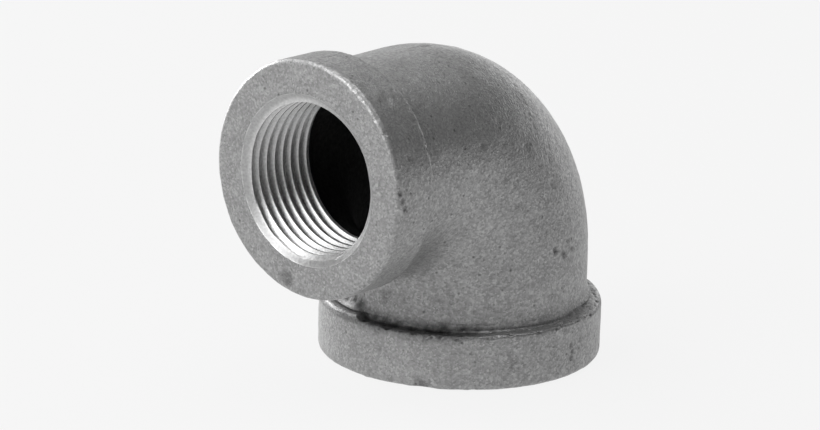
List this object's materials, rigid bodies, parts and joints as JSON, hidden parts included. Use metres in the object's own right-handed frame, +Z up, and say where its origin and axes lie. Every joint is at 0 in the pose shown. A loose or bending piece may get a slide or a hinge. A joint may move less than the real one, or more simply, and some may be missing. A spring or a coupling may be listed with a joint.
{
  "type": "pipe elbow",
  "caption": "Right-angle reducing pipe elbow in cast iron, with a thick banded rim and an internal taper pipe thread at each end.",
  "frame": {"origin": "centre of the large end's flat face, which the elbow stands on", "axes": "+Z up along the large end's axis, which its mouth faces down; the small end's axis is level and its mouth faces -Y"},
  "size_m": [0.0452, 0.0594, 0.0535],
  "materials": {
    "as_cast_iron": "dark grey as-cast skin with a fine sand grain",
    "tapped_iron": "freshly tapped, bright, lightly oiled"
  },
  "bodies": {
    "root": {"elbow_body": "as_cast_iron", "large_end_band": "as_cast_iron", "small_end_band": "as_cast_iron", "large_end_thread": "tapped_iron", "small_end_thread": "tapped_iron"}
  },
  "joints": []
}
